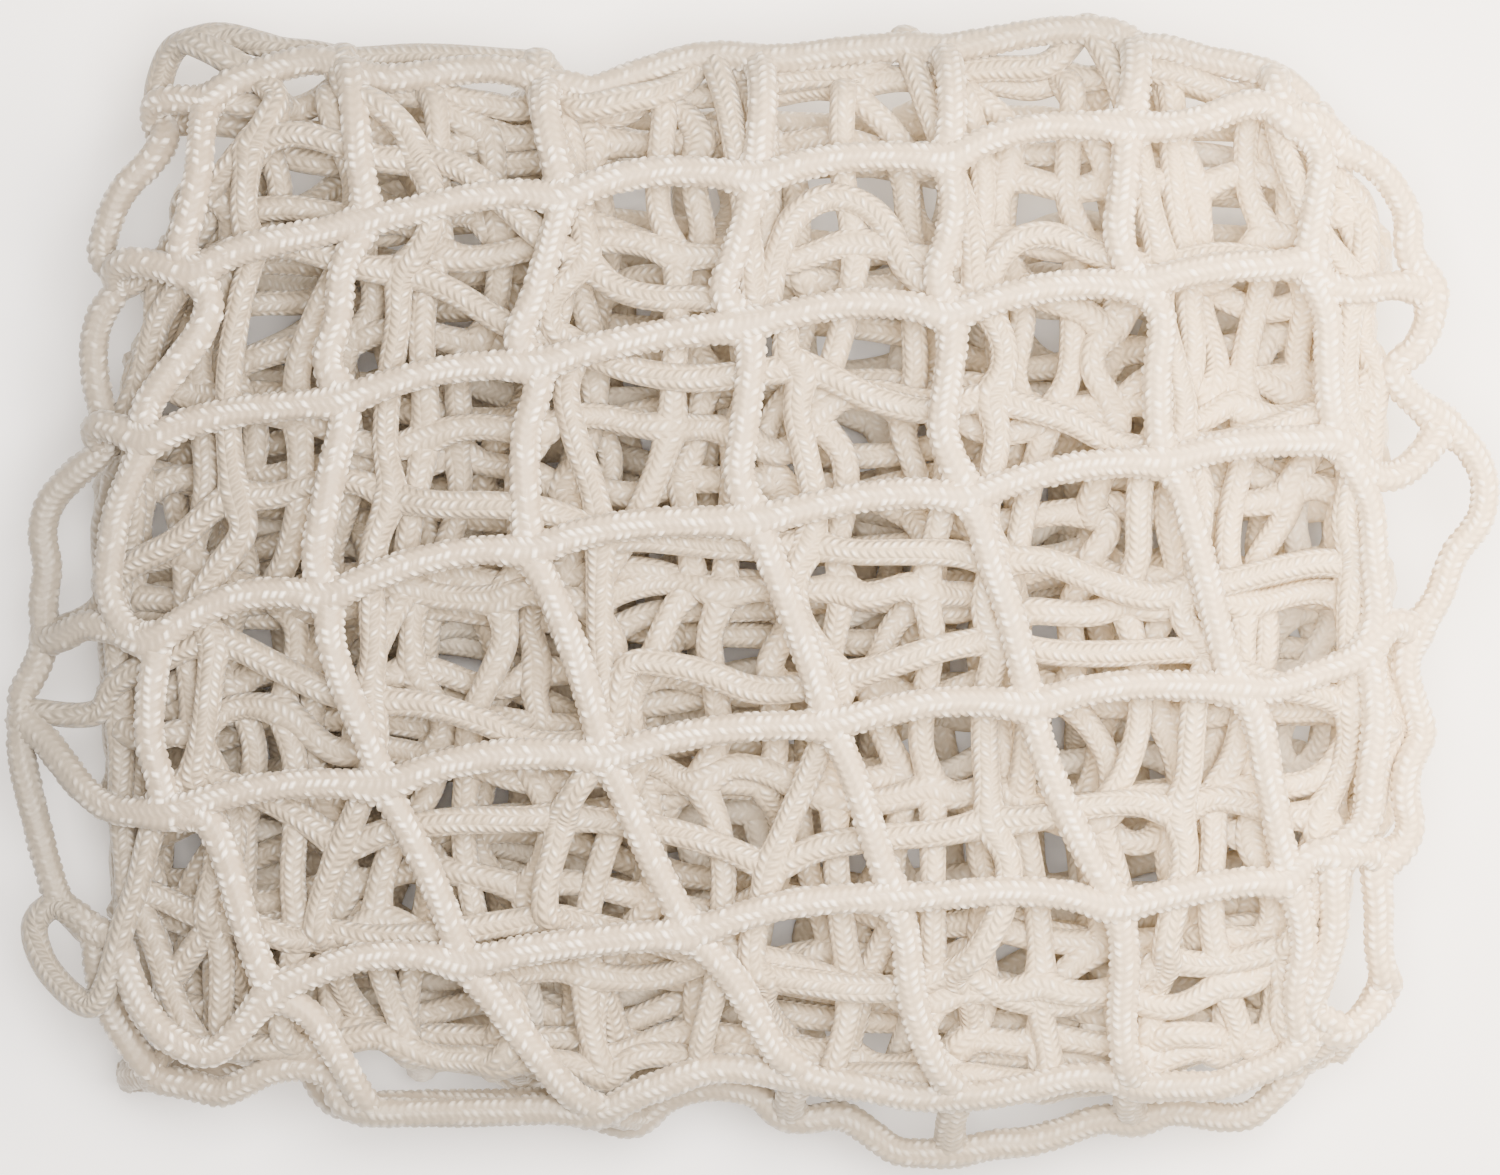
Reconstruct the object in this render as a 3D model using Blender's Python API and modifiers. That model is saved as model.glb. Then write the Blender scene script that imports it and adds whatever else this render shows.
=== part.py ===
"""Folded safety net: one length of knotless netting, folded back and forth into a pack.

Metres, +Z up. The pack lies on its back: X runs along the folds, Y from the low edge of the
pack to its high edge, and the origin is the middle of its base. Each layer of netting is drawn
as a sheet about as thick as its cords; the meshes themselves are not drawn. The folds lie
along the low and high edges, and the last layer is the face of the pack.
"""

import math

import bmesh
import bpy
from mathutils import Vector

CORD = 0.006
SHEET = 0.0040  # a layer at the rim, where its cords sink a little into the next one
LAYERS = 9
PITCH = 0.0056  # from one layer to the next at the rim
SWELL = 0.42  # how much fuller every layer and gap is in the middle of the pack
COLUMNS = 18  # strips along the folds
ROWS = 8  # strips across one layer
FOLD_STEPS = 4
IVORY = (0.72, 0.68, 0.60, 1.0)

HALF_WIDTH = 0.130
HALF_HEIGHT = 0.100

# The body of the pack at nine heights: where its left and right sides lie.
SIDES = (
    # up,     left,    right
    (-0.100, -0.110, 0.100),
    (-0.078, -0.121, 0.113),
    (-0.045, -0.126, 0.120),
    (-0.015, -0.126, 0.123),
    (0.020, -0.124, 0.124),
    (0.045, -0.121, 0.125),
    (0.070, -0.116, 0.120),
    (0.088, -0.111, 0.110),
    (0.104, -0.107, 0.098),
)

# The body of the pack at nine places along it: where its low and high folds lie.
ENDS = (
    # along,  low,    high
    (-0.130, -0.086, 0.092),
    (-0.110, -0.093, 0.098),
    (-0.085, -0.098, 0.101),
    (-0.050, -0.098, 0.099),
    (-0.020, -0.099, 0.097),
    (0.020, -0.098, 0.102),
    (0.062, -0.097, 0.106),
    (0.098, -0.093, 0.098),
    (0.130, -0.083, 0.085),
)

# Each layer from the base up: how far its sides stand out from the body, its lean and its sway.
LAYER_EDGES = (
    # left,    right,   lean,    sway,   phase
    (-0.008, -0.010, 0.000, 0.0010, 0.0),
    (-0.003, -0.004, 0.020, 0.0022, 1.9),
    (0.001, -0.006, -0.030, 0.0016, 4.1),
    (-0.005, 0.001, 0.040, 0.0024, 0.7),
    (0.002, -0.003, -0.020, 0.0018, 3.0),
    (-0.004, 0.002, 0.035, 0.0020, 5.2),
    (0.001, -0.005, -0.040, 0.0016, 2.3),
    (-0.004, -0.002, 0.020, 0.0020, 4.6),
    (0.000, 0.000, 0.000, 0.0012, 1.2),
)

# How far each fold reaches past the body, from the lowest fold up.
FOLD_REACH = (-0.007, -0.004, -0.001, 0.001, -0.004, -0.001, -0.003, -0.0004)

# Single cords that spring out past the pack and ring a gap, each rooted in one layer's edge.
LOOPS = (
    # edge,   layer, along,  half_span, reach
    ("right", 8, 0.018, 0.0140, 0.0150),
    ("right", 6, -0.068, 0.0130, 0.0100),
    ("left", 8, 0.067, 0.0150, 0.0100),
    ("left", 7, -0.013, 0.0150, 0.0110),
    ("left", 8, -0.044, 0.0155, 0.0130),
    ("low", 8, -0.068, 0.0150, 0.0060),
    ("low", 8, 0.024, 0.0140, 0.0100),
    ("low", 8, 0.052, 0.0150, 0.0100),
    ("low", 8, 0.083, 0.0125, 0.0080),
)
LOOP_CORD = 0.0050  # a loop's cord, pressed to the thickness of its layer
LOOP_POINTS = 9
LOOP_ROOT = 0.35  # how far a loop's ends run on into the layer, in quarter turns
LOOP_DROP = 0.25  # a loop sinks by this share of its reach

# The ridge that runs across the face, a little uphill to the right.
RIDGE_SWELL = 0.06
RIDGE_WIDTH = 0.030
RIDGE_AT = 0.006
RIDGE_SLOPE = 0.16


def clear_scene():
    for thing in list(bpy.data.objects):
        bpy.data.objects.remove(thing, do_unlink=True)


def ease(share):
    return share * share * (3.0 - 2.0 * share)


def glide(rows, place, column):
    """A value read from a short table's column, eased between its rows."""
    if place <= rows[0][0]:
        return rows[0][column]
    for low, high in zip(rows, rows[1:]):
        if place <= high[0]:
            share = (place - low[0]) / (high[0] - low[0])
            return low[column] + (high[column] - low[column]) * ease(share)
    return rows[-1][column]


def fullness(x, y):
    """How much the pack's height grows here: nothing at its rim, most in the middle."""
    across = min(abs(x) / HALF_WIDTH, 1.0)
    along = min(abs(y) / HALF_HEIGHT, 1.0)
    from_ridge = (y - RIDGE_AT - RIDGE_SLOPE * x) / RIDGE_WIDTH
    ridge = RIDGE_SWELL * math.exp(-(from_ridge**2))
    return 1.0 + (SWELL + ridge) * (1.0 - across**2.4) * (1.0 - along**2.2)


def height(layer):
    return SHEET / 2 + layer * PITCH


def fold_line(fold, side, x):
    """Where the middle of a fold's sheet turns, on the low (-1) or high (+1) edge."""
    column = 1 if side < 0 else 2
    _, _, lean, sway, phase = LAYER_EDGES[fold]
    reach = FOLD_REACH[fold] + lean * x / 2 + sway * math.sin(phase + 45.0 * x)
    return glide(ENDS, x, column) + side * (reach - SHEET / 2)


def side_of(layer, side, y):
    """The X of a layer's left (-1) or right (+1) side here. Two layers share their fold's ends."""
    left, right, lean, _, _ = LAYER_EDGES[layer]
    between_folds = max(0.0, 1.0 - abs(y / HALF_HEIGHT) ** 3)
    if side < 0:
        return glide(SIDES, y, 1) - (left - lean * y) * between_folds
    return glide(SIDES, y, 2) + (right + lean * y) * between_folds


def layer_ends(layer, x):
    """The Y where a layer's flat run starts and ends, low and high."""
    low_fold, high_fold = (layer, layer - 1) if layer % 2 == 0 else (layer - 1, layer)
    if layer == LAYERS - 1:
        low = glide(ENDS, x, 1)
    else:
        low = fold_line(low_fold, -1, x) + PITCH / 2
    if layer == 0:
        high = glide(ENDS, x, 2) - CORD
    else:
        high = fold_line(high_fold, 1, x) - PITCH / 2
    return low, high


def layer_points(layer, share):
    """Points across one layer, from the edge where it starts to the edge where it turns."""
    low, high = layer_ends(layer, (2.0 * share - 1.0) * HALF_WIDTH)
    points = []
    for row in range(ROWS + 1):
        y = low + (high - low) * row / ROWS
        left = side_of(layer, -1, y)
        x = left + (side_of(layer, 1, y) - left) * share
        points.append(Vector((x, y, height(layer))))
    return points if layer % 2 else points[::-1]


def fold_points(before, after, side):
    """Points round a fold, between one layer's last point and the next one's first."""
    points = []
    for step in range(1, FOLD_STEPS):
        angle = math.pi * step / FOLD_STEPS
        share = step / FOLD_STEPS
        out = side * math.sin(angle) * PITCH / 2
        up = (1.0 - math.cos(angle)) * PITCH / 2
        x, y, _ = before.lerp(after, share)
        points.append(Vector((x, y + out, before.z + up)))
    return points


def section(share):
    """The whole back-and-forth section of the netting at one place along the folds."""
    path = []
    for layer in range(LAYERS):
        points = layer_points(layer, share)
        if path:
            side = 1 if layer % 2 == 0 else -1
            path += fold_points(path[-1], points[0], side)
        path += points
    return path


def material(name, colour, roughness):
    made = bpy.data.materials.new(name)
    made.use_nodes = True
    shader = made.node_tree.nodes["Principled BSDF"]
    shader.inputs["Base Color"].default_value = colour
    shader.inputs["Roughness"].default_value = roughness
    return made


def folded_netting(collection):
    """The netting's middle surface, lofted through its sections, thickened and swelled."""
    mesh = bpy.data.meshes.new("netting")
    surface = bmesh.new()
    stations = [
        [surface.verts.new(point) for point in section(column / COLUMNS)]
        for column in range(COLUMNS + 1)
    ]
    for one, other in zip(stations, stations[1:]):
        for step in range(len(one) - 1):
            surface.faces.new((one[step], other[step], other[step + 1], one[step + 1]))
    bmesh.ops.recalc_face_normals(surface, faces=surface.faces)
    surface.to_mesh(mesh)
    surface.free()
    netting = bpy.data.objects.new("netting", mesh)
    collection.objects.link(netting)
    thicken = netting.modifiers.new("thickness", "SOLIDIFY")
    thicken.thickness = SHEET
    thicken.offset = 0.0
    bpy.context.view_layer.objects.active = netting
    bpy.ops.object.modifier_apply(modifier=thicken.name)
    for corner in netting.data.vertices:
        corner.co.z *= fullness(corner.co.x, corner.co.y)
    netting.data.materials.append(material("braided cord", IVORY, 0.8))
    return netting


def loop_route(edge, layer, along, half_span, reach):
    """A loop's middle line: out of its layer's edge, round, and back into it."""
    points = []
    for step in range(LOOP_POINTS):
        share = step / (LOOP_POINTS - 1)
        angle = math.pi * (share + LOOP_ROOT * (share - 0.5))
        out = (reach - LOOP_CORD / 2) * math.sin(angle)
        place = along + half_span * math.cos(angle)
        if edge == "low":
            x, y = place, glide(ENDS, place, 1) - out
        else:
            side = 1 if edge == "right" else -1
            x, y = side_of(layer, side, place) + side * out, place
        points.append(Vector((x, y, height(layer) * fullness(x, y) - LOOP_DROP * max(out, 0.0))))
    return points


def loop_cord(name, route, collection):
    """A loop of cord as a closed tube, swept along its route."""
    curve = bpy.data.curves.new(name, "CURVE")
    curve.dimensions = "3D"
    curve.bevel_depth = LOOP_CORD / 2
    curve.bevel_resolution = 1
    curve.use_fill_caps = True
    spline = curve.splines.new("POLY")
    spline.points.add(len(route) - 1)
    for point, place in zip(spline.points, route):
        point.co = (*place, 1.0)
    swept = bpy.data.objects.new(name, curve)
    collection.objects.link(swept)
    graph = bpy.context.evaluated_depsgraph_get()
    mesh = bpy.data.meshes.new_from_object(swept.evaluated_get(graph))
    welded = bmesh.new()
    welded.from_mesh(mesh)
    bmesh.ops.remove_doubles(welded, verts=welded.verts, dist=0.00001)
    bmesh.ops.recalc_face_normals(welded, faces=welded.faces)
    welded.to_mesh(mesh)
    welded.free()
    bpy.data.objects.remove(swept, do_unlink=True)
    loop = bpy.data.objects.new(name, mesh)
    collection.objects.link(loop)
    loop.hide_render = True
    loop.display_type = "WIRE"
    return loop


def build():
    clear_scene()
    parts = bpy.data.collections.new("safety net")
    helpers = bpy.data.collections.new("loops")
    for collection in (parts, helpers):
        bpy.context.scene.collection.children.link(collection)
    netting = folded_netting(parts)
    for number, row in enumerate(LOOPS):
        loop = loop_cord(f"loop_{number + 1}", loop_route(*row), helpers)
        join = netting.modifiers.new(loop.name, "BOOLEAN")
        join.operation = "UNION"
        join.solver = "EXACT"
        join.object = loop


build()
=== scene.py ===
import math

import bpy
import numpy as np
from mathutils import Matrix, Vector


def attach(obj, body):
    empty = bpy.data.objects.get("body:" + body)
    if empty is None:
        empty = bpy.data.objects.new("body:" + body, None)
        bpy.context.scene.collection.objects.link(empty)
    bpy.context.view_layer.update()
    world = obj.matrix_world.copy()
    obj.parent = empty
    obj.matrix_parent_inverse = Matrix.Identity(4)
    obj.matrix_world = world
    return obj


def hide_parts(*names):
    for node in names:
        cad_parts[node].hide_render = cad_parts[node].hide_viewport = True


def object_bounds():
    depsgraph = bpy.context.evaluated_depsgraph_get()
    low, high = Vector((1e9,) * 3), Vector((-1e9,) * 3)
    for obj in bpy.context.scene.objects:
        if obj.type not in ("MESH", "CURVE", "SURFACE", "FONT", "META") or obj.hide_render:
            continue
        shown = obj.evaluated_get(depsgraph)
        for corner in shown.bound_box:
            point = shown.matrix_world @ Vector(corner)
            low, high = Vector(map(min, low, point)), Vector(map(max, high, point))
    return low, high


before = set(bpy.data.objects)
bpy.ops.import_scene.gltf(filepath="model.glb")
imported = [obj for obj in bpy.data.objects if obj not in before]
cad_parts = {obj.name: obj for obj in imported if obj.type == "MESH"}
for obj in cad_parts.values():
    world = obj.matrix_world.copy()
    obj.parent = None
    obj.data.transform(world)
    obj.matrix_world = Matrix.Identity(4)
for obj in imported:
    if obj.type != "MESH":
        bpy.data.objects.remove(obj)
cad_low, cad_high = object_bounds()
pack_width = cad_high.x - cad_low.x

# ---------------------------------------------------------------------------------------------
# Camera, floor and lights. The pack lies on its back on a plain pale floor, seen from straight
# above its face, in a bright room, with a soft lamp almost overhead and a warmer one to its right.
# ---------------------------------------------------------------------------------------------
LENS = 150.0
FRAME_MARGIN = 1.0105  # the view's width, as a share of the pack's
FACE_SHARE = 0.72  # the height at which the view is that wide, as a share of the pack's


def hex_colour(code):
    """An sRGB hex colour as linear RGBA."""
    channels = [int(code[i : i + 2], 16) / 255 for i in (0, 2, 4)]
    linear = [c / 12.92 if c <= 0.04045 else ((c + 0.055) / 1.055) ** 2.4 for c in channels]
    return (*linear, 1.0)


def add_node(tree, kind, settings):
    """Adds a node. A setting is a property, an input's value, or another node's output to link."""
    node = tree.nodes.new(kind)
    for name, value in settings.items():
        if isinstance(name, str) and hasattr(node, name):
            setattr(node, name, value)
        elif isinstance(value, bpy.types.NodeSocket):
            tree.links.new(value, node.inputs[name])
        else:
            node.inputs[name].default_value = value
    return node


def new_material(name):
    made = bpy.data.materials.new(name)
    made.use_nodes = True
    made.node_tree.nodes.clear()
    return made, made.node_tree


sight = bpy.data.cameras.new("view")
camera = bpy.data.objects.new("view", sight)
bpy.context.scene.collection.objects.link(camera)
bpy.context.scene.camera = camera
sight.lens = LENS
sight.clip_end = 10.0
reach = pack_width * FRAME_MARGIN * LENS / sight.sensor_width
camera.location = (0.0, 0.0, cad_high.z * FACE_SHARE + reach)

# The floor: a matt, nearly white painted board, with no grain or shine to see.
bpy.ops.mesh.primitive_plane_add(size=4.0, location=(0.0, 0.0, 0.0))
floor = bpy.context.object
floor.name = "floor"
board, tree = new_material("matt white board")
shader = add_node(tree, "ShaderNodeBsdfPrincipled", {
    "Base Color": hex_colour("F6F9FF"), "Roughness": 0.9, "Specular IOR Level": 0.1})
add_node(tree, "ShaderNodeOutputMaterial", {"Surface": shader.outputs["BSDF"]})
floor.data.materials.append(board)

world = bpy.data.worlds.new("pale room")
bpy.context.scene.world = world
world.use_nodes = True
room = world.node_tree.nodes["Background"]
room.inputs["Color"].default_value = hex_colour("FFF2E2")
room.inputs["Strength"].default_value = 1.05

PACK_MIDDLE = Vector((0.0, 0.0, 0.03))
LAMPS = (
    # name, place, size, watts, colour
    ("overhead lamp", (0.09, 0.03, 0.90), 0.40, 27.0, "FFF4E8"),
    ("key lamp", (0.42, 0.16, 0.40), 0.40, 8.0, "FFE8CA"),
)
for name, place, size, watts, colour in LAMPS:
    lamp = bpy.data.lights.new(name, "AREA")
    lamp.size = size
    lamp.energy = watts
    lamp.color = hex_colour(colour)[:3]
    holder = bpy.data.objects.new(name, lamp)
    bpy.context.scene.collection.objects.link(holder)
    holder.location = place
    aim = PACK_MIDDLE - Vector(place)
    holder.rotation_euler = aim.to_track_quat("-Z", "Y").to_euler()

# ---------------------------------------------------------------------------------------------
# The netting, as it is folded: one length of knotless square-mesh netting, folded into three plies
# across and then into three runs along, which makes nine layers. Here its cords get their routes,
# and the next section their braid. From here on, sizes are in millimetres.
# ---------------------------------------------------------------------------------------------
CORD = 5.7
MESH = 37.0
COLUMNS = 30  # cords down the net, from the right side of the face and round its left side
ROWS = 26  # cords across the net, from the low edge of the face up
FACE_COLUMNS, FACE_ROWS = 9, 8  # how many of each are on the face
PLIES = ((0, 8), (8, 16), (16, 29))  # the side folds are at these cords down
RUNS = ((0, 7), (7, 16), (16, 25))  # and the end folds are at these cords across
RUN_LEFT, RUN_RIGHT = -117.0, 118.0
RUN_LOW, RUN_HIGH = -85.0, 89.0
FACE_RIGHT = 134.0
HIGH_TUCK = 5.0  # each ply inside the first turns this much further out at the high edge
RUN_MESHES = (33.1, 20.5, 19.5)  # a mesh's length along each run: the hidden runs are bunched
SIDE_TURN = 0.65  # half of a side turn, in meshes
SIDE_BULGE = 8.0  # how far out it stands
LOW_HEM = 1.2  # how many meshes turn down off the face at its low edge
HEM_MESH = 12.0  # how far out each mesh of them reaches
HEM_DROP = 2.5  # and how many layers it drops
LAYER_PITCH = 6.3  # the layers' spacing, which sets how far the end folds stand out
HIGH_TURN_DEPTH, LOW_TURN_DEPTH = 2.5, 5.5  # the middles of the end folds, in layers
LAST_LAYER = 8
# The layers' heights in the middle of the pack: the upper ones are nested closer.
LAYER_HEIGHTS = (60.5, 55.0, 49.5, 43.6, 36.8, 29.0, 20.0, 10.3, 0.0)
FLOOR_GAP = 0.6  # keeps the lowest cords just off the floor
HALF_WIDTH, HALF_LENGTH = 132.0, 104.0  # from the pack's middle to its rim
RIM_FULLNESS = 0.72  # the layers' spacing at the rim, as a share of that in the middle
FACE_TOP = 52.0
FLARE = 0.00086  # how much wider the pack gets, for each mm below that height
rng = np.random.default_rng(41)

# Where each cord across the face crosses the nine cords down it, from the left rim to the
# right. The first is the net's low edge, and the last is on the pack's high edge.
FACE_CROSSINGS = (
    ((-116, -91), (-77, -96), (-21, -99.5), (8, -99), (37.5, -105.5), (72.5, -99.5),
     (101, -90), (103, -89), (108, -88)),
    ((-112, -90.5), (-72, -97.5), (-28, -98), (9.5, -91.5), (38.5, -95), (72, -93),
     (103, -85.5), (110, -83), (118.5, -75)),
    ((-123, -64), (-89, -75.5), (-53.5, -70), (-11, -64.5), (27, -58), (68.5, -59.5),
     (101, -54.5), (110, -50), (118, -51)),
    ((-136.5, -24), (-108.5, -42), (-68.5, -37), (-27, -31.5), (15, -25.5), (52.5, -22),
     (91.5, -19), (116, -11), (124, -9)),
    ((-132.3, -9.5), (-112, -10), (-79, -1.5), (-41, 7), (1, 12.5), (41, 17),
     (78, 23.5), (110.5, 27), (129.5, 30.5)),
    ((-120.5, 27), (-113, 27.5), (-76, 35), (-40, 41.5), (-1, 49), (37.5, 51),
     (73, 56.5), (105, 60), (127, 55.5)),
    ((-118, 57), (-104, 59), (-72, 68.4), (-35, 73), (1, 76.3), (37, 80),
     (71, 86), (103, 86.5), (110, 82)),
    ((-110, 86), (-101, 91), (-76, 97), (-38, 94), (1, 98.5), (36, 100.3),
     (71.5, 101), (98, 95), (105, 89)),
)
# Where a cord across bends between two crossings, from the left: (cord, mesh from the left).
FACE_ACROSS = {
    (7, 1): ((-97, 94), (-92, 96), (-87, 97.5), (-80, 98.3)),
    (7, 2): ((-70, 95), (-62, 95.5), (-55, 96.5), (-47, 96.7), (-42, 95.5)),
    (7, 3): ((-33, 93.5), (-30, 92.7), (-25, 94.5), (-18, 97), (-10, 99), (-3, 99)),
    (7, 4): ((8, 98.6), (15, 99.8), (22, 100.5), (30, 100.8)),
    (7, 5): ((42, 101.3), (50, 103), (57, 104), (63, 104), (70, 102.5)),
    (7, 6): ((78, 100.5), (85, 98.5), (92, 97)),
    (7, 7): ((101, 93),),
    (6, 6): ((78, 86), (85, 87.5), (92, 90), (97, 90)),
    (5, 7): ((107, 57), (112, 55.5), (120, 56.5)),
    (4, 0): ((-129, -9.5), (-124, -7), (-118, -8)),
    (4, 7): ((113.5, 23.5), (117.5, 20.5), (122, 21.5), (126.5, 26)),
    (3, 0): ((-132, -28), (-128.5, -32.5), (-125, -37), (-120, -41), (-114, -42)),
    (3, 6): ((98, -19), (105, -16.5)),
    (2, 0): ((-118, -66), (-116.5, -71), (-113.5, -78.5), (-108, -84.5), (-101, -87), (-94, -81)),
    (1, 0): ((-104, -93), (-98.5, -94.3), (-94, -92.3), (-89, -90), (-82, -89.7),
             (-77.5, -91.5), (-76.5, -95.5)),
    (1, 1): ((-65, -98), (-50, -98), (-35, -97.5)),
    (1, 2): ((-22, -95), (-14, -92), (-8, -90), (0, -90)),
    (1, 3): ((20, -93), (30, -95)),
    (1, 4): ((45, -94.5), (52, -93.5), (60, -91.5), (68, -91.5)),
    (1, 5): ((80, -93), (88, -93), (93, -91)),
    (1, 7): ((115, -80),),
    (0, 0): ((-104, -91), (-92, -88.5), (-84, -88.5)),
    (0, 1): ((-65, -96.5), (-50, -96.5), (-35, -96.5)),
    (0, 2): ((-16, -95.5), (-10, -93.5), (-3, -93.5), (2, -95), (5, -98)),
    (0, 3): ((12, -99), (17, -98.5), (22, -101.5), (27, -105), (33, -105.5)),
    (0, 4): ((45, -104), (52, -103.5), (59, -101.5), (66, -99)),
    (0, 5): ((78, -97.5), (83, -98), (88, -99), (93, -98.7), (97, -95.5)),
}
# Where a cord down bends on its way down: (cord from the left, cord across below it).
FACE_DOWN = {
    (0, 6): ((-109.5, 84), (-112, 79.5), (-116.5, 75), (-120, 68), (-121.3, 61)),
    (0, 5): ((-121, 52), (-122.5, 47), (-122.5, 40), (-121.5, 34)),
    (0, 4): ((-126, 21.5), (-131, 15.5), (-132.2, 10), (-131.2, 4), (-132.3, -3)),
    (0, 3): ((-134, -16), (-136.5, -20)),
    (0, 2): ((-136.5, -29), (-135, -37), (-133, -45), (-131, -53), (-129, -59)),
    (0, 1): ((-122.5, -68), (-121, -75), (-118, -82), (-114, -88)),
    (1, 6): ((-102.5, 85), (-103, 78), (-104.5, 70), (-106, 62)),
    (1, 5): ((-101, 53), (-102.5, 48), (-106, 43), (-110, 38), (-113, 33)),
    (1, 4): ((-116, 20), (-118.5, 13), (-119.5, 6), (-120, 0), (-118.5, -5), (-115, -9)),
    (1, 3): ((-112, -20), (-112, -30), (-110.5, -35)),
    (1, 2): ((-102, -43), (-98, -50), (-96, -57), (-94, -64), (-92, -70)),
    (1, 1): ((-82, -80), (-78, -86), (-74.5, -92)),
    (2, 6): ((-73, 80),),
    (2, 5): ((-76, 60), (-77, 50), (-79, 42)),
    (2, 4): ((-78, 22), (-80, 12), (-81, 4)),
    (2, 1): ((-47, -78), (-40, -87), (-33, -95)),
    (3, 5): ((-37, 65), (-40, 55), (-43, 45)),
    (3, 4): ((-42, 28), (-42, 18)),
    (3, 1): ((-4, -72), (1, -80), (5, -87)),
    (4, 5): ((-1, 68), (-3, 62), (-5, 55)),
    (4, 4): ((-1, 30), (-2, 20)),
    (4, 1): ((29, -65), (30, -75), (32, -83), (35, -90)),
    (4, 0): ((37.5, -100),),
    (5, 5): ((38, 72), (37, 65), (35, 58)),
    (5, 4): ((37, 38), (36, 30)),
    (5, 3): ((43, 12), (45, 5), (48, -3)),
    (5, 1): ((70, -70), (69.5, -80), (70.5, -90)),
    (6, 5): ((70, 75), (69, 65)),
    (6, 4): ((76, 53), (76, 38)),
    (6, 3): ((80, 20), (83, 10), (85, 2), (87, -6)),
    (6, 2): ((93, -21), (97, -36), (100, -51)),
    (6, 1): ((103.5, -66), (102, -76)),
    (7, 5): ((107, 80), (106.5, 75), (105.5, 68)),
    (7, 4): ((108, 50), (108, 42), (108.5, 35)),
    (7, 3): ((116, 15), (116.5, 5), (117, -5)),
    (7, 2): ((117, -25), (116, -35), (115, -44)),
    (7, 1): ((109, -64), (107, -72), (105, -79)),
    (8, 6): ((108, 85),),
    (8, 5): ((114, 80.5), (118, 77.5), (121, 73.5), (123, 69), (123, 63), (125, 59)),
    (8, 4): ((127, 50), (124, 44), (120, 40.5), (122, 37), (126, 33.5)),
    (8, 3): ((134.5, 26), (137.2, 20), (136.3, 12.5), (131.5, 6.2), (128.5, -2)),
    (8, 2): ((122.5, -15), (124, -22), (125.5, -27), (123, -33), (122.5, -40), (123.5, -44),
             (121.5, -49)),
    (8, 1): ((117.5, -60), (117.5, -68), (118.5, -73)),
}
# The second layer, seen through the face: its crossings, from the left, and its bends.
SECOND_CROSSINGS = (
    ((-98, -84), (-66, -84), (-25, -85), (8, -86), (42, -88), (74, -88), (96, -84)),
    ((-100, -64), (-80, -65), (-36, -62), (3, -73), (38, -72), (78, -70), (100, -68)),
    ((-104, -36), (-76, -48), (-35, -43), (4, -52), (45, -44), (80, -42), (106, -43)),
    ((-100, -10), (-71, -21), (-26.5, -27), (17, -17), (46, -10), (86, -12), (112, -22)),
    ((-96, 17), (-67, 17), (-28, 10), (11, 8), (46, 5), (84, 0), (113, 5)),
    ((-93, 64), (-65, 59), (-33, 45), (9.5, 41), (45, 35.5), (81, 26), (111, 34)),
    ((-93.5, 82), (-62, 80), (-31, 61), (2, 52), (43, 54), (77, 60), (113, 56)),
    ((-104.5, 102), (-76, 99.3), (-39.5, 98.5), (-7, 99.3), (29, 102.8), (63, 105), (99, 94.5)),
)
SECOND_ACROSS = {
    (7, 0): ((-110.5, 92), (-109, 98), (-107, 101)),
    (7, 1): ((-98, 103), (-93, 102), (-88, 100.5), (-80, 100)),
    (7, 2): ((-62, 99.3), (-45, 98.5)),
    (2, 0): ((-130, -59), (-133.5, -62), (-132.5, -69), (-129, -74), (-124, -78), (-116, -60)),
    (6, 3): ((-25, 56), (-17, 54), (-9, 54)),
    (6, 4): ((5, 62), (9, 70), (15, 73), (22, 71), (26, 67), (29, 60), (36, 55)),
    (6, 5): ((46, 61), (50, 65), (56, 66), (63, 63)),
    (5, 2): ((-57, 56), (-45, 49)),
    (5, 4): ((24, 35), (33, 33)),
    (5, 5): ((50, 34), (60, 31), (68, 27)),
    (3, 1): ((-88, -15), (-77, -20)),
    (3, 2): ((-60, -22), (-50, -25), (-40, -29)),
    (3, 3): ((-22, -14), (-15, -14.5), (-8, -16), (0, -19)),
}
# The outer edges that the hidden layers keep inside, each as (place, limit) along that side.
EDGE_RIGHT = ((-95, 96), (-88, 104), (-68, 104.5), (-64, 110), (-58, 112.5), (-50, 115), (-44, 122),
              (-32, 124), (-21, 125), (-5, 122), (2, 121), (9, 119), (18, 119), (30, 121), (37, 121),
              (46, 118.5), (53, 119), (63, 121), (73, 118), (82, 112), (86, 108), (91, 104), (100, 96))
EDGE_LEFT = ((-92, -98), (-85, -110), (-78, -116), (-73, -118.5), (-66, -118.5), (-62, -121),
             (-55, -122.5), (-30, -123.5), (-20, -124), (-10, -125), (5, -126), (14, -126), (22, -124),
             (30, -120), (40, -119), (48, -116), (56, -116), (66, -110), (78, -108), (82, -96),
             (90, -95), (97, -92))
EDGE_HIGH = ((-112, 75), (-101, 79), (-96, 84), (-90, 93), (-80, 97), (-60, 97), (-45, 95), (-37, 95),
             (-30, 93), (-18, 96.5), (-7, 99), (10, 99), (29, 101), (50, 102), (63, 103), (73, 102),
             (85, 99), (98, 94), (103, 91), (108, 86), (112, 80), (120, 70))
EDGE_LOW = ((-118, -80), (-112, -88), (-103, -91), (-90, -91), (-79, -90), (-75, -89), (-65, -89),
            (-60, -94), (-50, -93), (-40, -96), (-28, -97), (-20, -96), (-12, -93.5), (0, -93.5),
            (7, -97), (17, -97.5), (20, -96.5), (36, -97), (41, -98), (70, -98), (83, -91), (97, -91),
            (104, -88), (108, -66), (114, -60), (120, -50))
EDGE_SOFTNESS = 7.0
LEFT_RIM_DEPTH = 1.6  # the face's rims lie this much deeper than the plain fold, in layers
RIGHT_RIM_DEPTH = 0.8
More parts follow.
